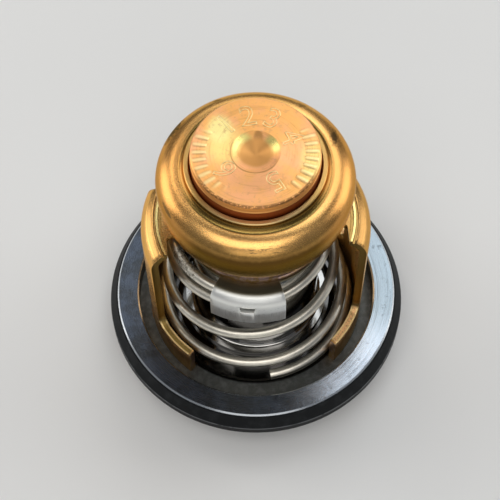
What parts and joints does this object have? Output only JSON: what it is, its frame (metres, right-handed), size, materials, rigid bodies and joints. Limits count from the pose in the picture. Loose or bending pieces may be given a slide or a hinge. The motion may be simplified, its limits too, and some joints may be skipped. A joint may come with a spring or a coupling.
{
  "type": "engine thermostat",
  "caption": "Heavy-duty engine coolant thermostat: turned flange with rubber seal, stirrup frame, conical spring, poppet valve on a wax capsule, and a domed bypass ring.",
  "frame": {"origin": "on the axis, at the rest face of the outlet bridge that the part stands on", "axes": "+Z along the axis towards the wax capsule's head; the frame's arms lie about 4 degrees counter-clockwise from +X; -Y is the side with the spring's lower wire end"},
  "size_m": [0.0678, 0.0678, 0.071],
  "materials": {
    "flange_metal": "fine turned",
    "seal_rubber": "matt moulded",
    "brass_sheet": "satin pressed",
    "brass_ring": "satin drawn",
    "stainless_sheet": "brushed",
    "polished_stainless": "polished",
    "spring_wire": "drawn wire",
    "piston_steel": "ground",
    "copper": "machined copper",
    "turned_brass": "turned",
    "inner_rubber": "matt",
    "wax": "waxy"
  },
  "bodies": {
    "base": {"flange": "flange_metal", "seal_ring": "seal_rubber", "frame": "brass_sheet", "bridge": "brass_sheet", "spring_retainer": "stainless_sheet", "main_spring": "spring_wire", "piston": "piston_steel"},
    "valve": {"valve_plate": "polished_stainless", "hub_sleeve": "polished_stainless", "bypass_ring": "brass_ring", "capsule_cup": "copper", "piston_guide": "turned_brass", "piston_wiper": "inner_rubber", "backing_washer": "stainless_sheet", "rubber_sleeve": "inner_rubber", "wax_charge": "wax"}
  },
  "joints": [
    {"name": "valve_lift", "type": "slide", "parent": "base", "child": "valve", "axis": [0, 0, 1], "range_m": [0, 0.01], "stiffness_N_per_m": 2000, "springref_m": -0.01, "deforming": ["main_spring"]}
  ]
}
